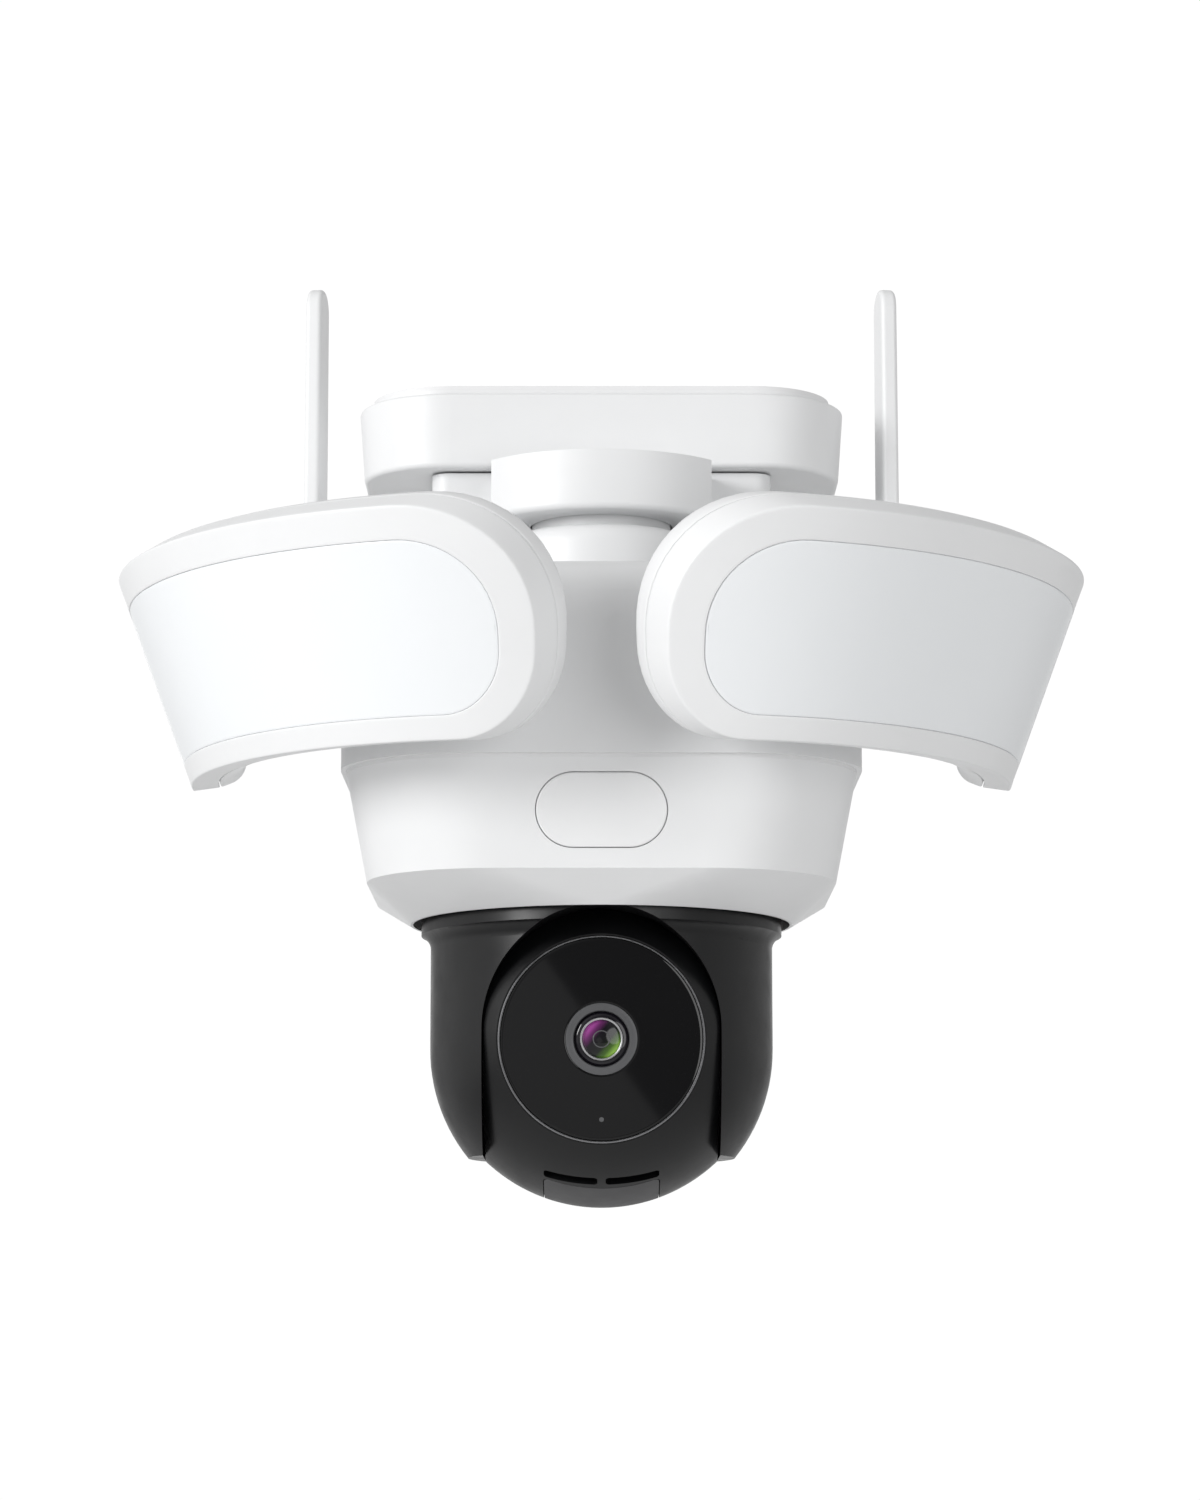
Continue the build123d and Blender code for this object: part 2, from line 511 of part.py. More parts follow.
# ---- turret, pans about the neck axis ----------------------------------------------------
BOWL_Z = -188.3           # the turret turns from a cylinder to a bowl at this height
TILT_GEAR_X, TILT_GEAR_T = 33.0, 4.0
TILT_CAVITY = 38.4
TILT_CENTRES = (TILT_GEAR_TEETH + TILT_PINION_TEETH) * GEAR_MODULE / 2
TILT_PINION_Z = HEAD_Z + TILT_CENTRES
LEDGE_X, LEDGE_Y, LEDGE_Z = 26.0, 6.0, -208.0   # thin ledges under the back of the head
TOE_Z = -218.0            # the two arms are cut off level here
with BuildPart() as turret:
    with BuildSketch(Plane.XZ.offset(-NECK_Y)):
        with BuildLine():
            Polyline((0, DRUM_TOP), (DRUM_R - 3, DRUM_TOP), (DRUM_R, DRUM_TOP - 3),
                     (DRUM_R, -157.2))
            TangentArc((DRUM_R, -157.2), (TURRET_R, -161.0), tangent=(-1, -0.35))
            Line((TURRET_R, -161.0), (TURRET_R, BOWL_Z))
            ThreePointArc((TURRET_R, BOWL_Z),
                          (TURRET_R * cos(pi / 4), BOWL_Z - TURRET_R * sin(pi / 4)),
                          (0, BOWL_Z - TURRET_R))
            Line((0, BOWL_Z - TURRET_R), (0, DRUM_TOP))
        make_face()
    revolve(axis=Axis((0, NECK_Y, 0), (0, 0, 1)))
    with BuildSketch(NECK.offset(DRUM_TOP)):
        Circle(HUB_R)
    extrude(amount=PAN_GEAR_Z + PAN_GEAR_T - DRUM_TOP)
    with BuildSketch(TURRET_FRONT):
        Circle(ARCH_R)
        with Locations((0, -30)):
            Rectangle(2 * ARCH_HALF, 60)
    extrude(amount=60, mode=Mode.SUBTRACT)
    with BuildSketch(TURRET_FRONT):
        Circle(ARCH_R)
        with Locations((0, (LEDGE_Z - HEAD_Z) / 2)):
            Rectangle(2 * ARCH_HALF, HEAD_Z - LEDGE_Z)
        with Locations((0, -30)):
            Rectangle(2 * LEDGE_X, 60)
    extrude(amount=-60, mode=Mode.SUBTRACT)
    with BuildSketch(TURRET_FRONT):
        with Locations((0, -30)):
            Rectangle(2 * ARCH_HALF, 60)
    extrude(amount=-LEDGE_Y, mode=Mode.SUBTRACT)
    room = Box(2 * ARCH_HALF, 120, 120, mode=Mode.PRIVATE).moved(Location((0, NECK_Y, HEAD_Z)))
    add(Sphere(HEAD_R + 0.6, mode=Mode.PRIVATE).moved(Location((0, NECK_Y, HEAD_Z))) & room,
        mode=Mode.SUBTRACT)
    with BuildSketch(across(0)):
        with Locations((NECK_Y, HEAD_Z)):
            Circle(AXLE_R + RUN)
    extrude(amount=AXLE_END + 0.3, both=True, mode=Mode.SUBTRACT)
    with BuildSketch(across(-ARCH_HALF + 0.5)):
        with Locations((NECK_Y, HEAD_Z)):
            Circle(TILT_GEAR_TEETH / 2 + 1.6)
        with Locations((NECK_Y, TILT_PINION_Z)):
            Circle(TILT_PINION_TEETH / 2 + 1.6)
    extrude(amount=-(TILT_CAVITY - ARCH_HALF + 0.5), mode=Mode.SUBTRACT)
    with BuildSketch(across(-TILT_CAVITY)):
        with Locations((NECK_Y, TILT_PINION_Z)):
            Circle(6.0)
    extrude(amount=-6.0, mode=Mode.SUBTRACT)
    with BuildSketch(NECK.offset(DRUM_TOP - 6)):
        Circle(4.0)
    extrude(amount=30, mode=Mode.SUBTRACT)
    with BuildSketch(NECK.offset(TOE_Z)):
        Circle(2 * TURRET_R)
    extrude(amount=-60, mode=Mode.SUBTRACT)
write(turret, "turret")

with BuildPart() as tilt_motor:
    with BuildSketch(across(-TILT_CAVITY)):
        with Locations((NECK_Y, TILT_PINION_Z)):
            Circle(6.0)
    extrude(amount=-6.0)
    with BuildSketch(across(-TILT_CAVITY)):
        with Locations((NECK_Y, TILT_PINION_Z)):
            Circle(1.5 + RUN)
    extrude(amount=-3.5, mode=Mode.SUBTRACT)
write(tilt_motor, "tilt_motor")

with BuildPart() as tilt_pinion:
    half_tooth = pi / TILT_PINION_TEETH
    with BuildSketch(Plane(origin=(-TILT_GEAR_X, NECK_Y, TILT_PINION_Z), z_dir=(-1, 0, 0),
                           x_dir=(0, cos(half_tooth), sin(half_tooth)))):
        gear_outline(TILT_PINION_TEETH, GEAR_MODULE)
    extrude(amount=TILT_GEAR_T)
    with BuildSketch(across(-TILT_GEAR_X - TILT_GEAR_T)):
        with Locations((NECK_Y, TILT_PINION_Z)):
            Circle(1.5)
    extrude(amount=-4.4)
write(tilt_pinion, "tilt_pinion")

with BuildPart() as tilt_gear:
    with BuildSketch(Plane(origin=(-TILT_GEAR_X, NECK_Y, HEAD_Z), x_dir=(0, 1, 0),
                           z_dir=(-1, 0, 0))):
        gear_outline(TILT_GEAR_TEETH, GEAR_MODULE)
        Circle(AXLE_R, mode=Mode.SUBTRACT)
    extrude(amount=TILT_GEAR_T)
write(tilt_gear, "tilt_gear")

# ---- head, tilts between the cheeks ------------------------------------------------------
FACE_W, SPLIT_W = 36.6, -14.0                  # along the view axis, from the tilt axis
SIDE_WALL = 3.0
PORT_ANGLE, PORT_SIZE, PORT_T = 80.0, 31.0, 2.0
PORT_HINGE, PORT_BEAD_R, PORT_BEAD_HALF = (-14.8, 42.7), 0.9, 4.5   # a bead along its rear edge
PORT_ROOM = 1.0           # space under the cover, for its swing
SLOT_ANGLE = 55.6


def head_direction(angle):
    """Unit vector this many degrees below the view axis."""
    a = radians(angle)
    return HEAD.z_dir * cos(a) - HEAD.y_dir * sin(a)


def head_plane(angle):
    """A plane through the tilt axis whose normal points out of the ball at this angle."""
    return Plane(origin=HEAD.origin, x_dir=(1, 0, 0), z_dir=head_direction(angle))


def ball(radius, half, low, high, mode=Mode.ADD):
    """A ball with flat sides, cut square to the view axis at two distances."""
    whole = HEAD.location * Sphere(radius, mode=Mode.PRIVATE)
    slab = Box(2 * half, 3 * radius, high - low, mode=Mode.PRIVATE)
    add(whole & (HEAD.offset((low + high) / 2).location * slab), mode=mode)


PORT = head_plane(PORT_ANGLE)
with BuildPart() as port_pocket:
    with BuildSketch(PORT.offset(30)):
        with Locations((0, -0.25)):
            RectangleRounded(PORT_SIZE + 0.5, PORT_SIZE + 1.3, 2.2)
    extrude(amount=20)
    add(HEAD.location * Sphere(HEAD_R - PORT_T - PORT_ROOM, mode=Mode.PRIVATE),
        mode=Mode.SUBTRACT)

BUTTON_AT, CARD_AT = (8.0, 4.0), (-5.0, 4.0)
BUTTON_R, BUTTON_TRAVEL = 1.6, 0.8
with BuildPart() as head_front:
    ball(HEAD_R, HEAD_HALF, SPLIT_W, FACE_W)
    ball(HEAD_R - HEAD_SHELL, HEAD_HALF - SIDE_WALL, SPLIT_W - 1, 40, mode=Mode.SUBTRACT)
    with BuildSketch(HEAD.offset(FACE_W - 1.9)):
        Circle(BEZEL_R)
    extrude(amount=10, mode=Mode.SUBTRACT)
    with BuildSketch(HEAD.offset(20)):
        Circle(24.5)
    extrude(amount=30, mode=Mode.SUBTRACT)
    add(port_pocket.part, mode=Mode.SUBTRACT)
    with BuildSketch(PORT.offset(30)):
        with Locations(BUTTON_AT):
            Circle(BUTTON_R + 0.08)
        with Locations(CARD_AT):
            SlotOverall(13, 2.0)
    extrude(amount=20, mode=Mode.SUBTRACT)
    with BuildSketch(head_plane(SLOT_ANGLE).offset(30)):
        with Locations((-8.3, 0), (8.3, 0)):
            RectangleRounded(14.4, 3.3, 1.0)
    extrude(amount=20, mode=Mode.SUBTRACT)
    with BuildSketch(across(0)):
        with Locations((NECK_Y, HEAD_Z)):
            Circle(AXLE_R)
    extrude(amount=60, both=True, mode=Mode.SUBTRACT)
write(head_front, "head_front")

with BuildPart() as head_rear:
    ball(HEAD_R, HEAD_HALF, -HEAD_R - 1, SPLIT_W)
    ball(HEAD_R - HEAD_SHELL, HEAD_HALF - SIDE_WALL, -HEAD_R - 1, SPLIT_W + 1,
         mode=Mode.SUBTRACT)
write(head_rear, "head_rear")

with BuildPart() as right_axle:
    with BuildSketch(across(HEAD_HALF - SIDE_WALL)):
        with Locations((NECK_Y, HEAD_Z)):
            Circle(AXLE_R)
            Circle(2.5, mode=Mode.SUBTRACT)
    extrude(amount=AXLE_END - HEAD_HALF + SIDE_WALL)
    with BuildSketch(across(HEAD_HALF - SIDE_WALL)):
        with Locations((NECK_Y, HEAD_Z)):
            Circle(8.0)
            Circle(2.5, mode=Mode.SUBTRACT)
    extrude(amount=-1.5)
write_pair(right_axle, "axle")

with BuildPart() as front_glass:
    with BuildSketch(HEAD.offset(FACE_W - 1.9)):
        Circle(GLASS_R)
    extrude(amount=2.1)
write(front_glass, "front_glass")

with BuildPart() as bezel_ring:
    with BuildSketch(HEAD.offset(FACE_W - 1.9)):
        Circle(BEZEL_R)
        Circle(GLASS_R, mode=Mode.SUBTRACT)
    extrude(amount=2.5)
write(bezel_ring, "bezel_ring")

with BuildPart() as face_plate:
    with BuildSketch(HEAD.offset(FACE_W - 3.6)):
        Circle(24.5)
        Circle(LENS_RING_R + 0.2, mode=Mode.SUBTRACT)
        with Locations((0, -22.0)):
            Circle(0.8, mode=Mode.SUBTRACT)
    extrude(amount=1.6)
write(face_plate, "face_plate")

with BuildPart() as lens_barrel:
    with BuildSketch(HEAD.offset(17.6)):
        Circle(LENS_RING_R)
    extrude(amount=FACE_W - 2.2 - 17.6)
    with BuildSketch(HEAD.offset(FACE_W - 2.2)):
        Circle(LENS_R)
    extrude(amount=-5.0, mode=Mode.SUBTRACT)
    chamfer(lens_barrel.faces().sort_by(Axis.Y)[0].edges().sort_by(SortBy.RADIUS)[0], 0.8)
write(lens_barrel, "lens_barrel")

with BuildPart() as lens_element:
    with BuildSketch(HEAD.offset(FACE_W - 7.2)):
        Circle(LENS_R)
    extrude(amount=3.0)
    fillet(lens_element.faces().sort_by(Axis.Y)[0].edges(), 1.2)
write(lens_element, "lens_element")

with BuildPart() as sensor_board:
    with BuildSketch(HEAD.offset(16.0)):
        RectangleRounded(46, 36, 3)
    extrude(amount=1.6)
write(sensor_board, "sensor_board")

with BuildPart() as speaker:
    with BuildSketch(head_plane(SLOT_ANGLE + 8).offset(28)):
        RectangleRounded(34, 18, 4)
    extrude(amount=5.5)
write(speaker, "speaker")

with BuildPart() as port_cover:
    with BuildSketch(PORT.offset(30)):
        RectangleRounded(PORT_SIZE, PORT_SIZE, 2.0)
    extrude(amount=20)
    add(HEAD.location * Sphere(HEAD_R - PORT_T, mode=Mode.PRIVATE), mode=Mode.SUBTRACT)
    add(HEAD.location * Sphere(HEAD_R, mode=Mode.PRIVATE), mode=Mode.INTERSECT)
    with BuildSketch(PORT.offset(30)):
        with Locations((0, PORT_HINGE[0] - 1.0)):
            Rectangle(2 * PORT_BEAD_HALF, 2.0)
    extrude(amount=20, mode=Mode.SUBTRACT)
    with BuildSketch(Plane(origin=PORT.from_local_coords((0, *PORT_HINGE)), z_dir=(1, 0, 0))):
        Circle(PORT_BEAD_R)
    extrude(amount=PORT_BEAD_HALF, both=True)
write(port_cover, "port_cover")

with BuildPart() as reset_button:
    with BuildSketch(PORT.offset(39.4)):
        with Locations(BUTTON_AT):
            Circle(BUTTON_R)
    extrude(amount=3.2)
    with BuildSketch(PORT.offset(38.4)):
        with Locations(BUTTON_AT):
            Circle(2.6)
    extrude(amount=1.2)
write(reset_button, "reset_button")

# ---- lamps, each on a knuckle with a yaw pin and a tilt pin ------------------------------
LAMP_SLOPE = atan2(LAMP_TOP_R - LAMP_BOTTOM_R, LAMP_TOP_Z - LAMP_BOTTOM_Z)
LAMP_MID_R = (LAMP_TOP_R + LAMP_BOTTOM_R) / 2
LAMP_FACE_Z = (LAMP_TOP_Z + LAMP_BOTTOM_Z) / 2
LAMP_HALF_H = hypot(LAMP_TOP_R - LAMP_BOTTOM_R, LAMP_TOP_Z - LAMP_BOTTOM_Z) / 2
SEAM_HALF_H = LAMP_HALF_H + LAMP_FLARE
END_LEAN = 0.62           # sideways shift of the inner end for each millimetre of depth
INNER_CORNERS, OUTER_CORNER = (34.0, 22.0), 4.0
INNER_X = 1.1             # inner end of the face, towards the middle from the cone's axis
SWEEP_FROM, SWEEP_TO = -16.0, 112.0


def section_point(up, deep):
    """Radius and height of a point on the lamp's section, up its slope and into its depth."""
    return (LAMP_MID_R + up * sin(LAMP_SLOPE) - deep * cos(LAMP_SLOPE),
            LAMP_FACE_Z + up * cos(LAMP_SLOPE) + deep * sin(LAMP_SLOPE))


def sweep_lamp(outline):
    """Turn a closed section outline, given as (up, deep) points, about the lamp's axis."""
    a = radians(SWEEP_FROM)
    start = Plane(origin=(LAMP_X, NECK_Y + LAMP_Y, 0), x_dir=(sin(a), -cos(a), 0),
                  z_dir=(-cos(a), -sin(a), 0))
    with BuildSketch(start) as section:
        Polygon(*[section_point(*p) for p in outline], align=None)
    revolve(section.sketch, axis=LAMP_AXIS, revolution_arc=SWEEP_TO - SWEEP_FROM)


def face_plane(angle, deep=0.0):
    """The plane touching the lamp's face at an angle; sketch y runs up the slope."""
    a = radians(angle)
    radius, z = section_point(0, deep)
    return Plane(origin=(LAMP_X + radius * sin(a), NECK_Y + LAMP_Y - radius * cos(a), z),
                 x_dir=(cos(a), sin(a), 0),
                 z_dir=(cos(LAMP_SLOPE) * sin(a), -cos(LAMP_SLOPE) * cos(a), -sin(LAMP_SLOPE)))


def lamp_outline(inset, low, high, corners, end_corner):
    """Keep only what is inside the lamp's outline, drawn in by inset at both of its ends."""
    edge = -INNER_X + inset
    with BuildSketch(face_plane(0, -1.0)) as inner:
        with Locations((edge + 100, 0)):
            Rectangle(200, 260)
        with Locations((edge, high)):
            Rectangle(2 * corners[0], 2 * corners[0], mode=Mode.SUBTRACT)
        with Locations((edge, low)):
            Rectangle(2 * corners[1], 2 * corners[1], mode=Mode.SUBTRACT)
        with Locations((edge + corners[0], high - corners[0])):
            Circle(corners[0])
        with Locations((edge + corners[1], low + corners[1])):
            Circle(corners[1])
        with Locations((edge + 12, high + 80), (edge + 12, low - 80)):
            Rectangle(2 * min(corners), 160, mode=Mode.SUBTRACT)
    lean = Vector(-END_LEAN, 0, 0) - face_plane(0).z_dir
    extrude(inner.sketch, amount=230, dir=lean.normalized(), mode=Mode.INTERSECT)
    reach = LAMP_MID_R * sin(radians(LAMP_END_A - 90)) - inset
    with BuildSketch(face_plane(90, -12.0)) as outer:
        with Locations((reach - 150, 0)):
            Rectangle(300, 260)
        for level, sense in ((high, 1), (low, -1)):
            with Locations((reach, level)):
                Rectangle(2 * end_corner, 2 * end_corner, mode=Mode.SUBTRACT)
            with Locations((reach - end_corner, level - sense * end_corner)):
                Circle(end_corner)
            with Locations((reach, level + sense * 100)):
                Rectangle(2 * end_corner, 200, mode=Mode.SUBTRACT)
    extrude(outer.sketch, amount=-240, mode=Mode.INTERSECT)


DIFFUSER_LOW, DIFFUSER_HIGH = -23.8, 21.4
DIFFUSER_CORNERS, DIFFUSER_END = (25.0, 16.0), 3.0
DIFFUSER_SINK, DIFFUSER_T = 0.6, 2.4
SHELL_T = 2.6
FULL = (-SEAM_HALF_H, SEAM_HALF_H, INNER_CORNERS, OUTER_CORNER)

with BuildPart() as diffuser_void:
    sweep_lamp([(DIFFUSER_LOW, -2), (DIFFUSER_HIGH, -2), (DIFFUSER_HIGH, 9), (DIFFUSER_LOW, 9)])
    lamp_outline(LAMP_BORDER, DIFFUSER_LOW, DIFFUSER_HIGH, DIFFUSER_CORNERS, DIFFUSER_END)

with BuildPart() as lamp_bezel:
    sweep_lamp([(-LAMP_HALF_H, 0), (LAMP_HALF_H, 0), (SEAM_HALF_H, LAMP_SEAM),
                (-SEAM_HALF_H, LAMP_SEAM)])
    lamp_outline(0, *FULL)
    add(diffuser_void.part, mode=Mode.SUBTRACT)
write_pair(lamp_bezel, "lamp_bezel")

with BuildPart() as lamp_diffuser:
    sweep_lamp([(DIFFUSER_LOW, DIFFUSER_SINK), (DIFFUSER_HIGH, DIFFUSER_SINK),
                (DIFFUSER_HIGH, DIFFUSER_SINK + DIFFUSER_T),
                (DIFFUSER_LOW, DIFFUSER_SINK + DIFFUSER_T)])
    lamp_outline(LAMP_BORDER, DIFFUSER_LOW, DIFFUSER_HIGH, DIFFUSER_CORNERS, DIFFUSER_END)
write_pair(lamp_diffuser, "lamp_diffuser")

with BuildPart() as lamp_room:
    room_half = SEAM_HALF_H - SHELL_T - 0.4
    sweep_lamp([(-room_half, LAMP_SEAM - 1), (room_half, LAMP_SEAM - 1),
                (room_half - 1.5, 11.5), (room_half - 6.0, LAMP_T - SHELL_T),
                (-room_half + 6.0, LAMP_T - SHELL_T), (-room_half + 1.5, 11.5)])
    lamp_outline(SHELL_T, -room_half, room_half, (31.0, 19.5), 2.0)

EAR_IN, EAR_OUT, EAR_R = 7.0, 10.0, 4.5
with BuildPart() as lamp_back:
    sweep_lamp([(-SEAM_HALF_H, LAMP_SEAM), (SEAM_HALF_H, LAMP_SEAM),
                (SEAM_HALF_H - 0.8, 11.0), (SEAM_HALF_H - 2.9, 14.6), (SEAM_HALF_H - 6.6, LAMP_T),
                (-SEAM_HALF_H + 6.6, LAMP_T), (-SEAM_HALF_H + 2.9, 14.6),
                (-SEAM_HALF_H + 0.8, 11.0)])
    lamp_outline(0, *FULL)
    add(lamp_room.part, mode=Mode.SUBTRACT)
    for end in (-1, 1):
        ear = Plane(origin=TILT_AXIS_AT + TILT_DIR * (end * (EAR_IN + EAR_OUT) / 2),
                    x_dir=STEM_DIR, z_dir=TILT_DIR)
        with BuildSketch(ear):
            Circle(EAR_R)
            with Locations((4.4, 0)):
                Rectangle(8.8, 2 * EAR_R)
        extrude(amount=(EAR_OUT - EAR_IN) / 2, both=True)
    with BuildSketch(Plane(origin=TILT_AXIS_AT, x_dir=STEM_DIR, z_dir=TILT_DIR)):
        Circle(PIN_R)
    extrude(amount=12, both=True, mode=Mode.SUBTRACT)
write_pair(lamp_back, "lamp_back")

with BuildPart() as led_board:
    sweep_lamp([(-26.5, 8.6), (26.5, 8.6), (26.5, 9.8), (-26.5, 9.8)])
    lamp_outline(5.0, -26.5, 26.5, (27.0, 16.0), 2.0)
write_pair(led_board, "led_board")

BARREL_R, YAW_HALF, TILT_HALF = 4.2, 4.2, 6.6
with BuildPart() as knuckle:
    upright = Plane(origin=YAW_AXIS_AT, x_dir=STEM_DIR, z_dir=(0, 0, 1))
    with BuildSketch(upright):
        Circle(BARREL_R)
    extrude(amount=YAW_HALF, both=True)
    with BuildSketch(upright):
        with Locations(((TILT_AT - YAW_AT) / 2, 0)):
            Rectangle(TILT_AT - YAW_AT, 7.6)
    extrude(amount=2.8, both=True)
    lying = Plane(origin=TILT_AXIS_AT, x_dir=STEM_DIR, z_dir=TILT_DIR)
    with BuildSketch(lying):
        Circle(BARREL_R)
    extrude(amount=TILT_HALF, both=True)
    with BuildSketch(upright):
        Circle(PIN_R + RUN)
    extrude(amount=20, both=True, mode=Mode.SUBTRACT)
    with BuildSketch(lying):
        Circle(PIN_R + RUN)
    extrude(amount=20, both=True, mode=Mode.SUBTRACT)
write_pair(knuckle, "knuckle")

MOUNT_EAR_IN, MOUNT_EAR_T = 4.5, 3.0
with BuildPart() as lamp_mount:
    with BuildSketch(STEM.offset(CASE_R - 5)):
        Circle(11.0)
    extrude(amount=7.6)
    add(casing_solid.part, mode=Mode.SUBTRACT)
    with BuildSketch(STEM.offset(CASE_R - 7)):
        Circle(STEM_HOLE_R)
    extrude(amount=8.0)
    for end in (-1, 1):
        level = Plane(origin=YAW_AXIS_AT + Vector(0, 0, end * (MOUNT_EAR_IN + MOUNT_EAR_T / 2)),
                      x_dir=STEM_DIR, z_dir=(0, 0, 1))
        with BuildSketch(level):
            Circle(4.5)
            with Locations((-3.0, 0)):
                Rectangle(6.0, 9.0)
        extrude(amount=MOUNT_EAR_T / 2, both=True)
    with BuildSketch(Plane(origin=YAW_AXIS_AT, z_dir=(0, 0, 1))):
        Circle(PIN_R)
    extrude(amount=20, both=True, mode=Mode.SUBTRACT)
write_pair(lamp_mount, "lamp_mount")


def headed_pin(plane, half):
    """A pivot pin, centred on a plane, with a thin head beyond each end of its grip."""
    with BuildSketch(plane) as shank:
        Circle(PIN_R)
    extrude(shank.sketch, amount=half, both=True)
    for end in (-1, 1):
        with BuildSketch(plane.offset(end * (half + 0.5))) as head:
            Circle(3.0)
        extrude(head.sketch, amount=0.5, both=True)


with BuildPart() as yaw_pin:
    headed_pin(Plane(origin=YAW_AXIS_AT, z_dir=(0, 0, 1)), MOUNT_EAR_IN + MOUNT_EAR_T)
write_pair(yaw_pin, "yaw_pin")

with BuildPart() as tilt_pin:
    headed_pin(Plane(origin=TILT_AXIS_AT, x_dir=STEM_DIR, z_dir=TILT_DIR), EAR_OUT)
write_pair(tilt_pin, "tilt_pin")

# ---- antennas, fold back about X ----------------------------------------------------------
ANT_HUB_IN, ANT_HUB_OUT, ANT_PIN_R = 78.4, 86.8, 3.0
with BuildPart() as antenna_base:
    pivot = (NECK_Y + ANT_Y, ANT_Z)
    with BuildSketch(across(CASE_W / 2 - 3)):
        with Locations(pivot):
            Circle(ANT_BOSS_R)
    extrude(amount=ANT_HUB_IN - GAP - CASE_W / 2 + 3)
    fillet(antenna_base.edges().group_by(Axis.X)[-1], 1.0)
    add(casing_solid.part, mode=Mode.SUBTRACT)
    with BuildSketch(across(CASE_W / 2 - 6)):
        with Locations(pivot):
            Circle(4.0)
    extrude(amount=7)
    with BuildSketch(across(ANT_HUB_IN - 1)):
        with Locations(pivot):
            Circle(ANT_PIN_R)
    extrude(amount=ANT_HUB_OUT + GAP + 1 - ANT_HUB_IN)
    with BuildSketch(across(ANT_HUB_OUT + GAP)):
        with Locations(pivot):
            Circle(5.0)
    extrude(amount=1.6)
    fillet(antenna_base.edges().group_by(Axis.X)[-1], 0.7)
write_pair(antenna_base, "antenna_base")

with BuildPart() as antenna:
    with BuildSketch(across(ANT_HUB_IN)):
        with Locations((NECK_Y + ANT_Y, ANT_Z)):
            Circle(ANT_BOSS_R)
    extrude(amount=ANT_HUB_OUT - ANT_HUB_IN)
    fillet(antenna.edges().group_by(Axis.X)[0], 0.8)
    fillet(antenna.edges().group_by(Axis.X)[-1], 1.2)
    twist = radians(ANT_TWIST)
    blade = Plane(origin=(ANT_X, NECK_Y + ANT_Y, ANT_Z), x_dir=(-sin(twist), cos(twist), 0),
                  z_dir=(cos(twist), sin(twist), 0))
    with BuildSketch(blade):
        with BuildLine():
            tip = ANT_TIP - ANT_Z
            wide, slim = ANT_D / 2, ANT_D / 2 - 1.0
            Line((-wide, 2), (-slim, tip - slim))
            ThreePointArc((-slim, tip - slim), (0, tip), (slim, tip - slim))
            Line((slim, tip - slim), (wide, 2))
            Line((wide, 2), (-wide, 2))
        make_face()
    extrude(amount=ANT_T / 2, both=True)
    long_edges = antenna.edges().filter_by(lambda e: e.center().Z > ANT_Z + 20)
    fillet(long_edges, 1.3)
    with BuildSketch(across(ANT_HUB_IN - 1)):
        with Locations((NECK_Y + ANT_Y, ANT_Z)):
            Circle(ANT_PIN_R + RUN)
    extrude(amount=20, mode=Mode.SUBTRACT)
write_pair(antenna, "antenna")
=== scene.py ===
"""Looks of the floodlight security camera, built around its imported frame. Metres, +Z up."""
import bmesh
import bpy
import json
from math import atan2, cos, hypot, pi, radians, sin
from mathutils import Matrix, Vector


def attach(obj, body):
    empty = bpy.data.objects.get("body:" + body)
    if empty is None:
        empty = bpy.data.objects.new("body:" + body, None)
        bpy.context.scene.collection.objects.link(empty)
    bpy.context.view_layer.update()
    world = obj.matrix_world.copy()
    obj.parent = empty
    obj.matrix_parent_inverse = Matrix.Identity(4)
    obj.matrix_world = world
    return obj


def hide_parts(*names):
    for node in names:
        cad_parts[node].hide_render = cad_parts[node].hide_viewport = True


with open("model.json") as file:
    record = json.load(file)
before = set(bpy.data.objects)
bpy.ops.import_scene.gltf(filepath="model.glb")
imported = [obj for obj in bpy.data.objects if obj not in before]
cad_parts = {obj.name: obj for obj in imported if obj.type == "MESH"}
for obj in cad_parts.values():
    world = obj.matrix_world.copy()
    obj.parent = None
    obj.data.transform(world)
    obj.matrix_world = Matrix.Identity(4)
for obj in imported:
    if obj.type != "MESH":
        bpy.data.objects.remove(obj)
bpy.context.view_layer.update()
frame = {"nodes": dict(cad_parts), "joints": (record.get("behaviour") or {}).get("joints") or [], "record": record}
nodes = frame["nodes"]
MM = 0.001

# ---- places taken from the frame ---------------------------------------------------------
joints = {j["name"]: j for j in frame["joints"]}
NECK_Y = joints["pan"]["pos_m"][1]
TILT_AT = Vector(joints["head_tilt"]["pos_m"])


# ---- materials ---------------------------------------------------------------------------
def shader(name):
    """A new node material, with its node tree and its main shader."""
    material = bpy.data.materials.new(name)
    material.use_nodes = True
    tree = material.node_tree
    return material, tree, tree.nodes["Principled BSDF"]


def node(tree, kind, **values):
    """A new shader node with its input sockets set by name."""
    made = tree.nodes.new(kind)
    for key, value in values.items():
        made.inputs[key].default_value = value
    return made


def grain(tree, bsdf, scale, depth):
    """A surface's fine texture, as bump in object space; gives back the coordinates."""
    place = tree.nodes.new("ShaderNodeTexCoord")
    noise = node(tree, "ShaderNodeTexNoise", Scale=scale, Detail=2.0, Roughness=0.6)
    bump = node(tree, "ShaderNodeBump", Strength=1.0, Distance=depth)
    tree.links.new(place.outputs["Object"], noise.inputs["Vector"])
    tree.links.new(noise.outputs["Fac"], bump.inputs["Height"])
    tree.links.new(bump.outputs["Normal"], bsdf.inputs["Normal"])
    return place


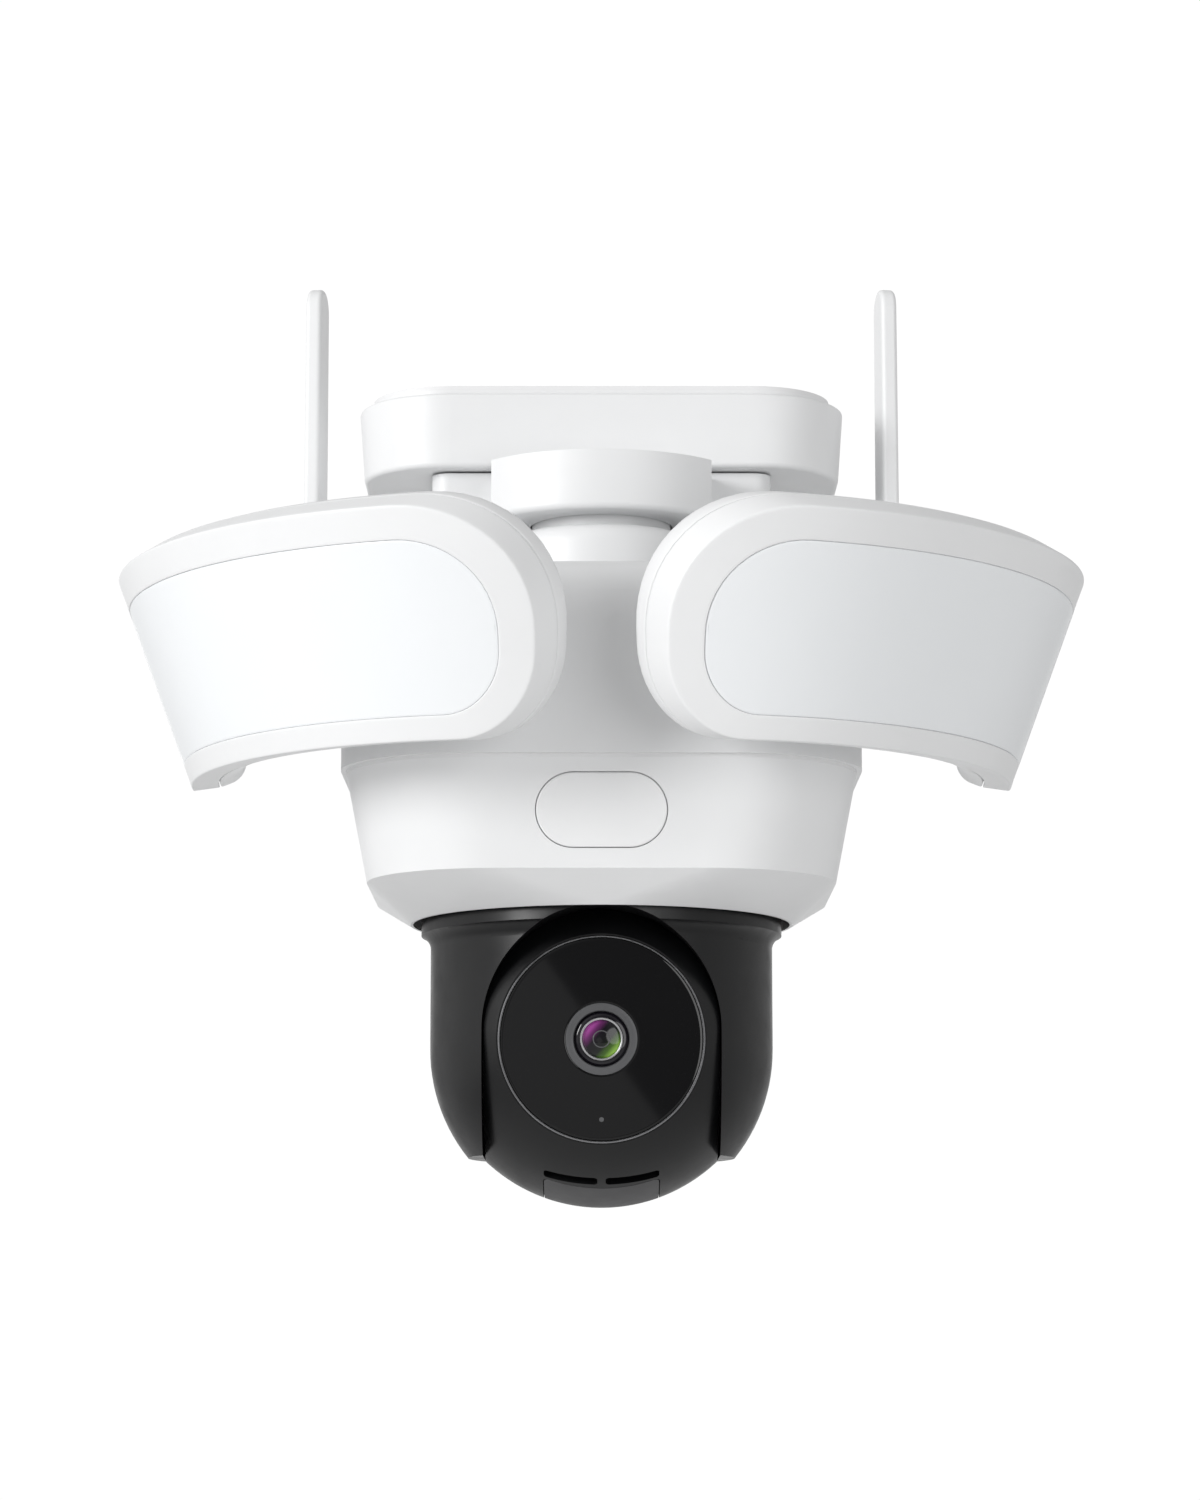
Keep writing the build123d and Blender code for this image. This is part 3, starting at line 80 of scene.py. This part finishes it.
def mottle(tree, place, scale, low, high, target):
    """A soft variation between two colours or two numbers, linked to a socket."""
    noise = node(tree, "ShaderNodeTexNoise", Scale=scale, Detail=3.0, Roughness=0.55)
    ramp = tree.nodes.new("ShaderNodeValToRGB")
    ramp.color_ramp.elements[0].position, ramp.color_ramp.elements[1].position = 0.3, 0.7
    for element, value in zip(ramp.color_ramp.elements, (low, high)):
        element.color = (*value, 1) if isinstance(value, tuple) else (value,) * 3 + (1,)
    tree.links.new(place.outputs["Object"], noise.inputs["Vector"])
    tree.links.new(noise.outputs["Fac"], ramp.inputs["Fac"])
    tree.links.new(ramp.outputs["Color"], target)


def plastic(name, dark, light, rough, scale=2600.0, depth=0.00001, shine=0.5, spread=0.05):
    """Moulded plastic: a barely uneven colour and gloss over a fine spark-eroded grain."""
    material, tree, bsdf = shader(name)
    place = grain(tree, bsdf, scale, depth)
    mottle(tree, place, 45.0, dark, light, bsdf.inputs["Base Color"])
    mottle(tree, place, 120.0, rough - spread, rough + spread, bsdf.inputs["Roughness"])
    bsdf.inputs["Specular IOR Level"].default_value = shine
    return material


def metal(name, colour, rough):
    """Plated or machined metal with fine uneven polish."""
    material, tree, bsdf = shader(name)
    place = grain(tree, bsdf, 900.0, 0.000006)
    bsdf.inputs["Metallic"].default_value = 1.0
    mottle(tree, place, 300.0, tuple(c * 0.92 for c in colour), colour,
           bsdf.inputs["Base Color"])
    mottle(tree, place, 500.0, rough - 0.06, rough + 0.06, bsdf.inputs["Roughness"])
    return material


def polished(name, colour, rough):
    """Glass printed black from behind, or a dark lens: smooth and mirror-like."""
    material, _, bsdf = shader(name)
    bsdf.inputs["Base Color"].default_value = (*colour, 1)
    bsdf.inputs["Roughness"].default_value = rough
    bsdf.inputs["Specular IOR Level"].default_value = 0.5
    return material


FLARE_TOWARDS = Vector((0.75, 0.0, -0.66))     # the way the painted reflections turn from purple to green across the lens
FLARE_SHIFT, FLARE_REACH = 0.0019, 0.0049    # its middle, and how far it goes each way
# painted reflections: purple at one end, the lens's own near-black in the middle, green at the other
PAINTED_FLARE_COLOURS = ((0.0, (0.42, 0.06, 0.36)), (0.2, (0.10, 0.01, 0.09)),
           (0.36, (0.006, 0.004, 0.008)), (0.66, (0.006, 0.008, 0.006)),
           (0.84, (0.05, 0.12, 0.01)), (1.0, (0.30, 0.55, 0.08)))


def coated_lens(name):
    """A dark lens with painted reflections: purple at one side, through its own black, to green at the other."""
    material, tree, bsdf = shader(name)
    place = tree.nodes.new("ShaderNodeTexCoord")
    across = tree.nodes.new("ShaderNodeVectorMath")
    across.operation = "DOT_PRODUCT"
    across.inputs[1].default_value = FLARE_TOWARDS
    middle = TILT_AT.dot(FLARE_TOWARDS) + FLARE_SHIFT
    span = node(tree, "ShaderNodeMapRange", **{"From Min": middle - FLARE_REACH,
                                               "From Max": middle + FLARE_REACH})
    ramp = tree.nodes.new("ShaderNodeValToRGB")
    while len(ramp.color_ramp.elements) < len(PAINTED_FLARE_COLOURS):
        ramp.color_ramp.elements.new(0.5)
    for element, (position, colour) in zip(ramp.color_ramp.elements, PAINTED_FLARE_COLOURS):
        element.position, element.color = position, (*colour, 1)
    tree.links.new(place.outputs["Object"], across.inputs[0])
    tree.links.new(across.outputs["Value"], span.inputs["Value"])
    tree.links.new(span.outputs["Result"], ramp.inputs["Fac"])
    tree.links.new(ramp.outputs["Color"], bsdf.inputs["Base Color"])
    bsdf.inputs["Roughness"].default_value = 0.08
    return material


WHITE = plastic("white_shell", (0.80, 0.805, 0.81), (0.815, 0.82, 0.825), 0.42)
OPAL = plastic("diffuser", (0.84, 0.858, 0.872), (0.85, 0.867, 0.882), 0.34, 900.0, 0.000004,
               spread=0.02)
WINDOW = plastic("pir_window", (0.825, 0.83, 0.835), (0.84, 0.843, 0.846), 0.36, 1500.0)
BLACK = plastic("black_gloss", (0.0028, 0.0029, 0.0033), (0.0038, 0.0039, 0.0044), 0.34, 2200.0,
                0.000006, 0.35)
MATTE = plastic("black_matte", (0.003, 0.003, 0.0034), (0.0042, 0.0042, 0.0048), 0.55)
RUBBER = plastic("rubber", (0.05, 0.05, 0.052), (0.06, 0.06, 0.062), 0.5, 3200.0, 0.000012)
PALE_RUBBER = plastic("pale_rubber", (0.78, 0.78, 0.785), (0.8, 0.8, 0.805), 0.6, 3200.0)
BOARD = plastic("board", (0.012, 0.09, 0.035), (0.02, 0.13, 0.055), 0.35, 700.0)
ACETAL = plastic("gear_plastic", (0.66, 0.65, 0.60), (0.72, 0.71, 0.66), 0.40)
GREY = plastic("lens_ring", (0.07, 0.071, 0.074), (0.085, 0.086, 0.09), 0.42, 3000.0)
STEEL = metal("steel", (0.62, 0.62, 0.63), 0.32)
CHROME = metal("dark_chrome", (0.30, 0.30, 0.31), 0.24)
ALUMINIUM = metal("aluminium", (0.83, 0.83, 0.84), 0.38)
PIANO = polished("front_glass", (0.0022, 0.0022, 0.0026), 0.03)
LENS_BLACK = polished("lens_black", (0.004, 0.003, 0.006), 0.05)
# the lens dome's material, with painted purple and green reflections
PAINTED_FLARE_LENS = coated_lens("coated_lens")
FINISHES = {"white_shell": WHITE, "diffuser": OPAL, "pir_window": WINDOW, "black_gloss": BLACK,
            "black_matte": MATTE, "rubber": RUBBER, "board": BOARD, "gear_plastic": ACETAL,
            "steel": STEEL, "aluminium": ALUMINIUM, "front_glass": PIANO, "dark_chrome": CHROME,
            "lens_black": LENS_BLACK, "coated_lens": PAINTED_FLARE_LENS, "lens_ring": GREY}


def dress(piece, material):
    """Give a piece one material."""
    piece.data.materials.clear()
    piece.data.materials.append(material)


slots = {part["node"]: part["material_slot"] for part in frame["record"]["subparts"]}
for name, cad_node in nodes.items():
    dress(cad_node, FINISHES[slots[name]])
for name in ("mount_gasket", "casing_seal"):
    dress(nodes[name], PALE_RUBBER)
dress(nodes["mount_plate"], WHITE)


# ---- mesh helpers ------------------------------------------------------------------------
SMOOTH_ANGLE = radians(35.0)
SAME_POINT, NO_LENGTH = 2e-7, 1e-8


def mesh_piece(name, points, faces, body, finish, replaced=(), slot=None):
    """A new mesh that rides on a body, takes a finish and stands for CAD nodes; its slot is not used."""
    work = bmesh.new()
    made = [work.verts.new(p) for p in points]
    for face in faces:
        work.faces.new([made[i] for i in face])
    bmesh.ops.remove_doubles(work, verts=work.verts[:], dist=SAME_POINT)
    bmesh.ops.dissolve_degenerate(work, edges=work.edges[:], dist=NO_LENGTH)
    bmesh.ops.recalc_face_normals(work, faces=work.faces[:])
    data = bpy.data.meshes.new(name)
    work.to_mesh(data)
    work.free()
    piece = bpy.data.objects.new(name, data)
    bpy.context.scene.collection.objects.link(piece)
    bpy.context.view_layer.objects.active = piece
    piece.select_set(True)
    bpy.ops.object.shade_smooth_by_angle(angle=SMOOTH_ANGLE)
    piece.select_set(False)
    dress(piece, FINISHES[finish])
    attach(piece, body)
    if replaced:
        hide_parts(*replaced)


def join_rings(rings, around=False, first_cap=False, last_cap=False):
    """Points and faces of a surface through rings of equally many points."""
    count = len(rings[0])
    points = [p for ring in rings for p in ring]
    faces = []
    steps = len(rings) if around else len(rings) - 1
    for i in range(steps):
        a, b = i * count, (i + 1) % len(rings) * count
        for j in range(count):
            k = (j + 1) % count
            faces.append((a + j, a + k, b + k, b + j))
    if first_cap:
        faces.append(tuple(range(count)))
    if last_cap:
        faces.append(tuple(range(len(points) - count, len(points))))
    return points, faces


# ---- lamps -------------------------------------------------------------------------------
LAMP_X, LAMP_Y = 17.7, NECK_Y / MM - 8.0       # axis of the right lamp's cone
LAMP_TOP_R, LAMP_BOTTOM_R = 115.5, 94.6
LAMP_TOP_Z, LAMP_BOTTOM_Z = -61.1, -117.8
SLOPE = atan2(LAMP_TOP_R - LAMP_BOTTOM_R, LAMP_TOP_Z - LAMP_BOTTOM_Z)
MID_R, FACE_Z = (LAMP_TOP_R + LAMP_BOTTOM_R) / 2, (LAMP_TOP_Z + LAMP_BOTTOM_Z) / 2
HALF_H = hypot(LAMP_TOP_R - LAMP_BOTTOM_R, LAMP_TOP_Z - LAMP_BOTTOM_Z) / 2
FACE_FROM, FACE_TO = -1.1, radians(91.5) * MID_R
FACE_CORNERS, LEAST_CORNER = (34, 22, 4), 1.0  # inner upper, inner lower and outer radii
END_LEAN = 0.62                                # how far the inner end grows with depth
SEAM, DEPTH = 7.5, 17.0
SEAM_GAP, BACK_STEP = 0.2, 3.0                 # half the seam's width, and the inner step
ROLL_R, ROLL_STEPS, SIDE_OUT = 6.6, 12, 1.6    # the back's rolled edge, outside the face
CLOSED_IN = 5.8
CORNER_STEPS, END_STEPS, SIDE_STEPS = 14, 8, 60
SQUEEZE = (0.85, 0.65, 0.43, 0.2, 0.0)         # rings from an outline to its middle line
SHEET_GAP, SHEET_FRONT, SHEET_BACK = 0.03, 0.22, 2.9
SHEET_EDGE = 0.7


def on_lamp(side, along, up, deep):
    """A point of the lamp: along its curve, up its slope and into its depth, in mm."""
    turn = along / MID_R
    radius = MID_R + up * sin(SLOPE) - deep * cos(SLOPE)
    height = FACE_Z + up * cos(SLOPE) + deep * sin(SLOPE)
    return Vector((side * (LAMP_X + radius * sin(turn)), LAMP_Y - radius * cos(turn),
                   height)) * MM


def outline(low, high, start, end, corners):
    """A rectangle with four corner radii, as (along, up) points with even steps."""
    inner_top, inner_low, outer = corners
    spots = ((start, high, inner_top, 90, 1, -1), (start, low, inner_low, 180, 1, 1),
             (end, low, outer, 270, -1, 1), (end, high, outer, 0, -1, -1))
    corner_points = []
    for along, up, radius, angle, sx, sy in spots:
        centre = (along + sx * radius, up + sy * radius)
        corner_points.append([(centre[0] + radius * cos(radians(angle + 90 * i / CORNER_STEPS)),
                               centre[1] + radius * sin(radians(angle + 90 * i / CORNER_STEPS)))
                              for i in range(CORNER_STEPS + 1)])
    points = []
    for here, following, steps in zip(corner_points, corner_points[1:] + corner_points[:1],
                                      (END_STEPS, SIDE_STEPS) * 2):
        points += here
        (x0, y0), (x1, y1) = here[-1], following[0]
        points += [(x0 + (x1 - x0) * i / steps, y0 + (y1 - y0) * i / steps)
                   for i in range(1, steps)]
    return points


def face_outline(inset, deep):
    """The lamp's outer outline, drawn in by inset, at a depth."""
    grow = END_LEAN * deep
    top, low, outer = FACE_CORNERS
    return outline(-HALF_H + inset, HALF_H - inset, FACE_FROM + inset - grow, FACE_TO - inset,
                   (top - inset, low - inset, max(outer - inset, LEAST_CORNER)))


OPENING = (-23.8, 21.4, FACE_FROM + 9.5, FACE_TO - 9.5, (25.0, 16.0, 3.0))


def opening_outline(grown):
    """The outline of the diffuser's opening, grown outward."""
    low, high, start, end, corners = OPENING
    return outline(low - grown, high + grown, start - grown, end + grown,
                   tuple(c + grown for c in corners))


def lamp_ring(side, flat, deep):
    """A flat outline wrapped onto the lamp at a depth."""
    return [on_lamp(side, along, up, deep) for along, up in flat]


def closing_rings(side, flat, deep):
    """Rings that close a lamp surface onto its middle line, all on the same surface."""
    middle = (min(p[1] for p in flat) + max(p[1] for p in flat)) / 2
    twins = [flat[(2 * CORNER_STEPS + END_STEPS - i) % len(flat)] for i in range(len(flat))]
    return [lamp_ring(side, [((a * (1 + f) + t * (1 - f)) / 2, middle + (u - middle) * f)
                             for (a, u), (t, _) in zip(flat, twins)], deep)
            for f in SQUEEZE]


def lamp_bezel(side, prefix):
    """The front frame: a tight inner lip, a flat face, a small edge and a drafted side."""
    lip = [(0.0, 3.2), (0.0, 0.5), (0.05, 0.22), (0.18, 0.05), (0.4, 0.0), (0.9, 0.0)]
    rim = [(1.1, 0.0), (0.5, 0.0), (0.28, 0.03), (0.1, 0.13), (-0.03, 0.3), (-0.12, 0.55),
           (-0.22, 1.0), (-1.43, SEAM - 0.8), (-1.5, SEAM - 0.42), (-1.42, SEAM - 0.26),
           (-1.2, SEAM - SEAM_GAP)]
    rings = [lamp_ring(side, opening_outline(grown), deep) for grown, deep in lip]
    rings += [lamp_ring(side, face_outline(inset, deep), deep) for inset, deep in rim]
    rings += [lamp_ring(side, face_outline(BACK_STEP, deep), deep)
              for deep in (SEAM - SEAM_GAP, 4.6)]
    mesh_piece(prefix + "lamp_frame", *join_rings(rings, around=True), prefix + "lamp",
               "white_shell", [prefix + "lamp_bezel"])


def lamp_diffuser(side, prefix):
    """The frosted sheet, slightly below the frame's face."""
    front, back = SHEET_FRONT, SHEET_BACK
    rings = closing_rings(side, opening_outline(-SHEET_GAP), back)[::-1]
    rings += [lamp_ring(side, opening_outline(grown), deep)
              for grown, deep in ((-SHEET_GAP, back), (-SHEET_GAP, front + 0.3),
                                  (-0.1, front + 0.1), (-0.3, front), (-SHEET_EDGE, front))]
    rings += closing_rings(side, opening_outline(-SHEET_EDGE), front)
    mesh_piece(prefix + "lamp_lens", *join_rings(rings), prefix + "lamp", "diffuser",
               [prefix + "lamp_diffuser"])


def lamp_back(side, prefix):
    """The rear shell with its seam and a rolled rear edge."""
    start = SEAM + SEAM_GAP
    edge = [(BACK_STEP, start), (-1.2, start), (-1.47, SEAM + 0.26), (-1.57, SEAM + 0.45),
            (-SIDE_OUT, SEAM + 0.8), (-SIDE_OUT, SEAM + 1.4)]
    for i in range(1, ROLL_STEPS + 1):
        turn = radians(90 / ROLL_STEPS * i)
        edge.append((-SIDE_OUT + ROLL_R * (1 - cos(turn)),
                     DEPTH - ROLL_R + ROLL_R * sin(turn)))
    edge.append((CLOSED_IN, DEPTH))
    rings = closing_rings(side, face_outline(BACK_STEP, start), start)[::-1]
    rings += [lamp_ring(side, face_outline(inset, deep), deep) for inset, deep in edge]
    rings += closing_rings(side, face_outline(CLOSED_IN, DEPTH), DEPTH)
    mesh_piece(prefix + "lamp_shell", *join_rings(rings), prefix + "lamp", "white_shell",
               [prefix + "lamp_back"])


EAR_R, EAR_REACH, EAR_STEPS = 4.5, 8.6, 24
EAR_SIDE = ((7.0, 0.5), (7.3, 0.12), (7.6, 0.0), (9.4, 0.0), (9.7, 0.12), (10.0, 0.5))


def lamp_ears(prefix):
    """Two rounded lugs that hold the tilt pin behind the lamp."""
    at = Vector(joints[prefix + "lamp_tilt"]["pos_m"])
    outward = at - Vector(joints[prefix + "lamp_yaw"]["pos_m"])
    stem = Vector((outward.x, outward.y, 0)).normalized()
    along = Vector((0, 0, 1)).cross(stem)
    for number, end in enumerate((-1, 1)):
        rings = []
        for offset, shrink in EAR_SIDE:
            radius = EAR_R - shrink
            arc = [(radius * cos(t), radius * sin(t))
                   for t in (pi / 2 + pi * i / EAR_STEPS for i in range(EAR_STEPS + 1))]
            edge = [(EAR_REACH, -radius), (EAR_REACH, radius)]
            rings.append([at + (stem * x + along * (end * offset) + Vector((0, 0, y))) * MM
                          for x, y in arc + edge])
        shape = join_rings(rings, first_cap=True, last_cap=True)
        mesh_piece(f"{prefix}lamp_ear_{number + 1}", *shape, prefix + "lamp", "white_shell")


for side, prefix in ((1, "right_"), (-1, "left_")):
    lamp_bezel(side, prefix)
    lamp_diffuser(side, prefix)
    lamp_back(side, prefix)
    lamp_ears(prefix)


# ---- camera head: glass, bead and lens ---------------------------------------------------
HEAD_DOWN = radians(4.6)
VIEW_AXIS = Vector((0, -cos(HEAD_DOWN), -sin(HEAD_DOWN)))
HEAD_UP = Vector((0, -sin(HEAD_DOWN), cos(HEAD_DOWN)))
ACROSS = Vector((1, 0, 0))
LIGHT_BELOW, LIGHT_R = 21.3, 0.62
DOME_STEPS = 10


def turned_piece(name, profile, finish, slot, replaced=(), hollow=False, centre=TILT_AT,
                 count=128):
    """A piece turned about the camera's view axis; its profile is (radius, along) in mm."""
    other = VIEW_AXIS.cross(ACROSS)
    turns = [2 * pi * i / count for i in range(count)]
    rings = [[centre + VIEW_AXIS * along * MM
              + (ACROSS * cos(t) + other * sin(t)) * radius * MM for t in turns]
             for radius, along in profile]
    mesh_piece(name, *join_rings(rings, around=hollow), "head", finish, replaced, slot=slot)


def dome(rim, edge_at, rise):
    """A cap's profile from its rim to its centre."""
    curve = (rim * rim + rise * rise) / (2 * rise)
    radii = [rim * (1 - i / DOME_STEPS) for i in range(DOME_STEPS + 1)]
    return [(r, edge_at - curve + rise + (curve ** 2 - r ** 2) ** 0.5) for r in radii]


turned_piece("glass_bead", [(26.95, 35.0), (26.95, 36.62), (27.02, 36.86), (27.18, 37.02),
                            (27.38, 37.02), (27.56, 36.88), (27.66, 36.62), (27.66, 35.0)],
             "dark_chrome", "steel", ["bezel_ring"], hollow=True)
turned_piece("cover_glass", [(9.65, 34.75), (26.4, 34.75), (26.82, 34.85), (26.88, 35.2),
                             (26.88, 36.3), (26.8, 36.52), (26.55, 36.6), (26.0, 36.6),
                             (18.0, 36.6), (10.1, 36.6), (9.8, 36.6), (9.7, 36.57), (9.65, 36.5)],
             "front_glass", "front_glass", ["front_glass"], hollow=True)
turned_piece("lens_collar", [(9.6, 34.45), (9.6, 36.45), (9.52, 36.6), (9.3, 36.66), (8.6, 36.66),
                             (7.9, 36.66), (7.62, 36.6), (7.5, 36.4), (7.35, 35.4),
                             (7.35, 34.45)],
             "lens_ring", "black_matte", hollow=True)
turned_piece("lens_rim", [(7.3, 34.5), (7.3, 35.4), (7.0, 35.72), (6.4, 36.0), (5.88, 36.12),
                          (5.8, 35.9), (5.8, 34.5)],
             "lens_black", "front_glass", hollow=True)
turned_piece("lens_band", [(5.75, 34.6), (5.75, 36.02), (5.62, 36.13), (5.38, 36.13),
                           (5.2, 36.0), (5.0, 35.4), (5.0, 34.6)],
             "steel", "steel", hollow=True)
# the lens dome, with painted purple and green reflections in its colour
turned_piece("lens_dome", [(0.0, 34.6), (4.98, 34.6)] + dome(4.95, 35.1, 0.9),
             "coated_lens", "front_glass", ["lens_element"])
turned_piece("lens_iris", [(2.35, 35.5), (2.35, 35.86), (2.25, 35.93), (2.12, 35.93),
                           (2.02, 35.86), (2.02, 35.5)],
             "lens_ring", "black_matte", hollow=True)
turned_piece("status_light", [(0.0, 36.3), (LIGHT_R, 36.3), (LIGHT_R, 36.63),
                              (LIGHT_R * 0.8, 36.66), (0.0, 36.66)],
             "lens_ring", "black_matte", centre=TILT_AT - HEAD_UP * LIGHT_BELOW * MM, count=24)


# ---- camera, light and floor -------------------------------------------------------------
def aim(thing, target):
    """Turn a light so that it shines at a point."""
    direction = Vector(target) - thing.location
    thing.rotation_euler = direction.to_track_quat("-Z", "Y").to_euler()


def area_light(name, at, target, size, watts):
    """A round lamp of the studio, unseen by the camera."""
    data = bpy.data.lights.new(name, "AREA")
    data.shape, data.size, data.energy = "DISK", size, watts
    light = bpy.data.objects.new(name, data)
    bpy.context.scene.collection.objects.link(light)
    light.location = at
    aim(light, target)
    light.visible_camera = False
    return light


CAMERA_X, CAMERA_BACK, CAMERA_Z, CAMERA_UP = -0.0004, 1.0983, -0.27305, 8.7
camera_data = bpy.data.cameras.new("camera")
camera_data.lens, camera_data.sensor_width, camera_data.clip_end = 96.0, 36.0, 50.0
camera = bpy.data.objects.new("camera", camera_data)
camera.location = (CAMERA_X, NECK_Y - CAMERA_BACK, CAMERA_Z)
camera.rotation_euler = (radians(90 + CAMERA_UP), 0, 0)
bpy.context.scene.collection.objects.link(camera)
bpy.context.scene.camera = camera

CENTRE = (0, NECK_Y, -0.11)
area_light("key", (-1.5, -1.35, 0.35), CENTRE, 0.8, 22)
area_light("fill", (0.9, -1.8, -0.1), CENTRE, 1.2, 9)

CARD_SIZE, CARD_TURN = 0.3, radians(-54.6)
card = area_light("card", (-0.122, -1.6, -0.395), CENTRE, CARD_SIZE, 0.075)
card.data.shape = "SQUARE"
card.rotation_euler = (Matrix.Rotation(radians(90), 3, "X") @
                       Matrix.Rotation(CARD_TURN, 3, "Z")).to_euler()

floor_data = bpy.data.meshes.new("floor")
REACH, DROP = 6.0, -1.6
floor_data.from_pydata([(-REACH, -REACH, DROP), (REACH, -REACH, DROP), (REACH, REACH, DROP),
                        (-REACH, REACH, DROP)], [], [(0, 1, 2, 3)])
floor = bpy.data.objects.new("floor", floor_data)
bpy.context.scene.collection.objects.link(floor)
floor_material, _, floor_bsdf = shader("pale_floor")
floor_bsdf.inputs["Base Color"].default_value = (0.93, 0.93, 0.93, 1)
floor_bsdf.inputs["Roughness"].default_value = 0.9
dress(floor, floor_material)

world = bpy.data.worlds.new("studio")
bpy.context.scene.world = world
world.use_nodes = True
sky = world.node_tree
sky_place = sky.nodes.new("ShaderNodeTexCoord")


def lobe(towards, start, end, strength):
    """A soft round patch of light in the surroundings, as a node output."""
    near = node(sky, "ShaderNodeVectorMath")
    near.operation = "DOT_PRODUCT"
    near.inputs[1].default_value = Vector(towards).normalized()
    span = node(sky, "ShaderNodeMapRange", **{"From Min": start, "From Max": end,
                                              "To Min": 0.0, "To Max": strength})
    span.interpolation_type = "SMOOTHSTEP"
    sky.links.new(sky_place.outputs["Generated"], near.inputs[0])
    sky.links.new(near.outputs["Value"], span.inputs["Value"])
    return span.outputs["Result"]


def total(first, second):
    """The sum of two strengths, each a number or a node output."""
    adder = sky.nodes.new("ShaderNodeMath")
    for socket, value in zip(adder.inputs, (first, second)):
        if isinstance(value, float):
            socket.default_value = value
        else:
            sky.links.new(value, socket)
    return adder.outputs["Value"]


ROOM = 0.42
brightness = total(ROOM, lobe((0, 0.988, 0.151), 0.90, 0.965, 1.02 - ROOM))
brightness = total(brightness, lobe((-1.0, -0.35, 0.2), 0.2, 1.0, 0.5))
brightness = total(brightness, lobe((1.0, -0.3, 0.0), 0.3, 1.0, 0.2))
brightness = total(brightness, lobe((0.1, -1.0, -0.15), 0.6, 0.93, -0.28))
sky.links.new(brightness, sky.nodes["Background"].inputs["Strength"])
sky.nodes["Background"].inputs["Color"].default_value = (1, 1, 1, 1)
bpy.context.scene.view_settings.view_transform = "Standard"
